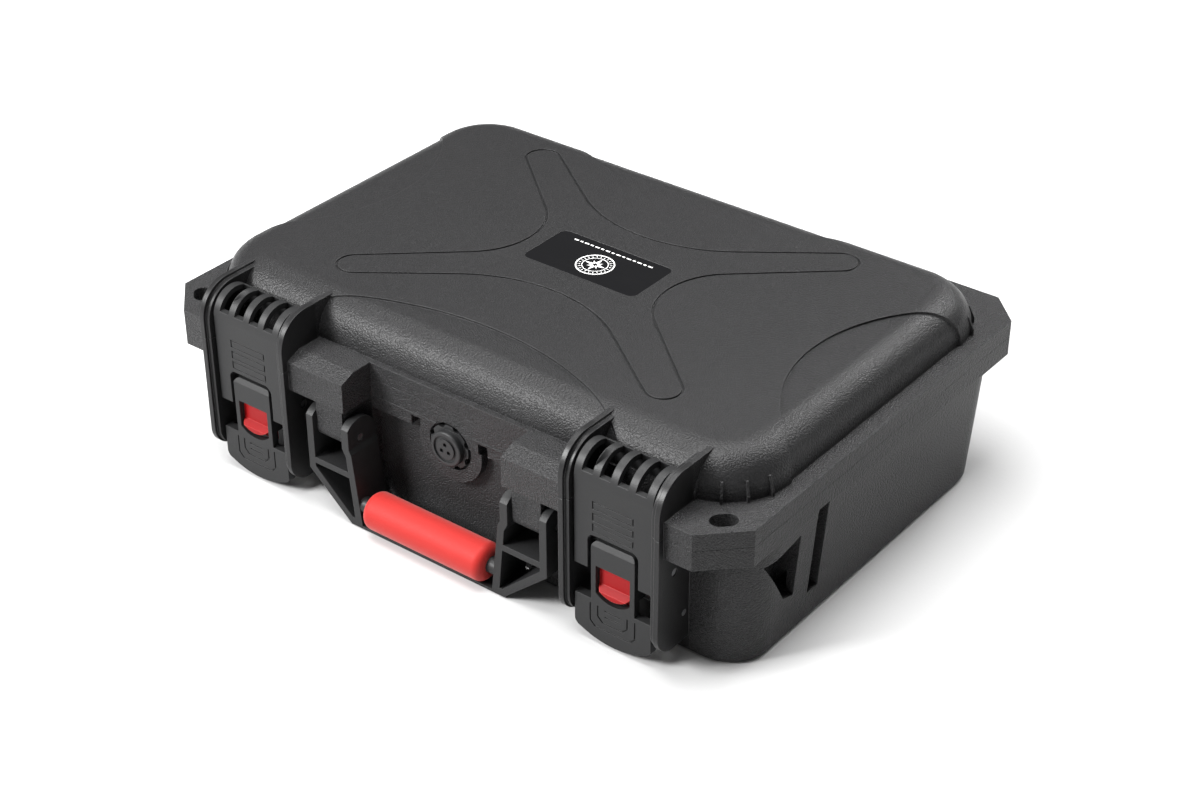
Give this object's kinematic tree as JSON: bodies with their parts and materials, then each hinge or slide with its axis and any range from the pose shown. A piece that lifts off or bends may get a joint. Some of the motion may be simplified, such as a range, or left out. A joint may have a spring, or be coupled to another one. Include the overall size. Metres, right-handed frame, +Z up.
{
  "type": "drone carrying case",
  "caption": "Hard plastic carrying case with a domed hinged lid, folding front handle with a soft grip, lever latches with push buttons, pressure valve and cut foam.",
  "frame": {"origin": "centre of the case's footprint, on the surface that the case stands on", "axes": "+X along the width, to the right seen from the front; the front, with handle and latches, faces -Y; +Z up through the lid"},
  "size_m": [0.36, 0.2776, 0.1075],
  "materials": {
    "shell": "fine pebbled",
    "latch": "satin moulded",
    "handle": "satin moulded",
    "grip": "soft matt overmould",
    "button": "satin",
    "pin": "satin, dark",
    "spring": "drawn wire",
    "rubber": "matt",
    "valve": "satin moulded",
    "foam": "open-cell foam",
    "label": "gloss print"
  },
  "bodies": {
    "base": {"base_shell": "shell", "foam_base": "foam", "foam_pad": "foam", "handle_pin_left": "pin", "handle_pin_right": "pin", "hinge_pin_left": "pin", "hinge_pin_right": "pin", "valve_body": "valve", "valve_oring": "rubber", "valve_nut": "valve", "latch_left_pivot_pin": "pin", "latch_left_catch_pin": "pin", "latch_right_pivot_pin": "pin", "latch_right_catch_pin": "pin"},
    "lid": {"lid_shell": "shell", "lid_seal": "rubber", "foam_lid": "foam", "label_plate": "label"},
    "handle": {"handle_frame": "handle", "handle_grip": "grip"},
    "valve_knob": {"valve_knob": "valve"},
    "lever_left": {"latch_left_lever": "latch", "latch_left_link_pin": "pin", "latch_left_button_spring": "spring"},
    "button_left": {"latch_left_button": "button"},
    "clasp_left": {"latch_left_clasp": "latch"},
    "lever_right": {"latch_right_lever": "latch", "latch_right_link_pin": "pin", "latch_right_button_spring": "spring"},
    "button_right": {"latch_right_button": "button"},
    "clasp_right": {"latch_right_clasp": "latch"}
  },
  "joints": [
    {"name": "lid_hinge", "type": "hinge", "parent": "base", "child": "lid", "pos_m": [0, 0.1351, 0.0775], "axis": [-1, 0, 0], "range_deg": [0, 100]},
    {"name": "handle_swing", "type": "hinge", "parent": "base", "child": "handle", "pos_m": [0, -0.1242, 0.0493], "axis": [-1, 0, 0], "range_deg": [0, 115]},
    {"name": "valve_turn", "type": "hinge", "parent": "base", "child": "valve_knob", "pos_m": [0, -0.111, 0.057], "axis": [0, 1, 0], "range_deg": [-90, 0]},
    {"name": "latch_left_lever_swing", "type": "hinge", "parent": "base", "child": "lever_left", "pos_m": [-0.1158, -0.1243, 0.054], "axis": [-1, 0, 0], "range_deg": [0, 85]},
    {"name": "latch_left_clasp_swing", "type": "hinge", "parent": "lever_left", "child": "clasp_left", "pos_m": [-0.1158, -0.1286, 0.047], "axis": [1, 0, 0], "range_deg": [0, 120]},
    {"name": "latch_left_button_press", "type": "slide", "parent": "lever_left", "child": "button_left", "axis": [0, 1, 0], "range_m": [0, 0.002], "stiffness_N_per_m": 900, "deforming": ["latch_left_button_spring"]},
    {"name": "latch_right_lever_swing", "type": "hinge", "parent": "base", "child": "lever_right", "pos_m": [0.1158, -0.1243, 0.054], "axis": [-1, 0, 0], "range_deg": [0, 85]},
    {"name": "latch_right_clasp_swing", "type": "hinge", "parent": "lever_right", "child": "clasp_right", "pos_m": [0.1158, -0.1286, 0.047], "axis": [1, 0, 0], "range_deg": [0, 120]},
    {"name": "latch_right_button_press", "type": "slide", "parent": "lever_right", "child": "button_right", "axis": [0, 1, 0], "range_m": [0, 0.002], "stiffness_N_per_m": 900, "deforming": ["latch_right_button_spring"]}
  ],
  "couplings": [
    {"joint": "latch_left_clasp_swing", "follows": "latch_left_lever_swing", "ratio": 1.4},
    {"joint": "latch_right_clasp_swing", "follows": "latch_right_lever_swing", "ratio": 1.4}
  ]
}
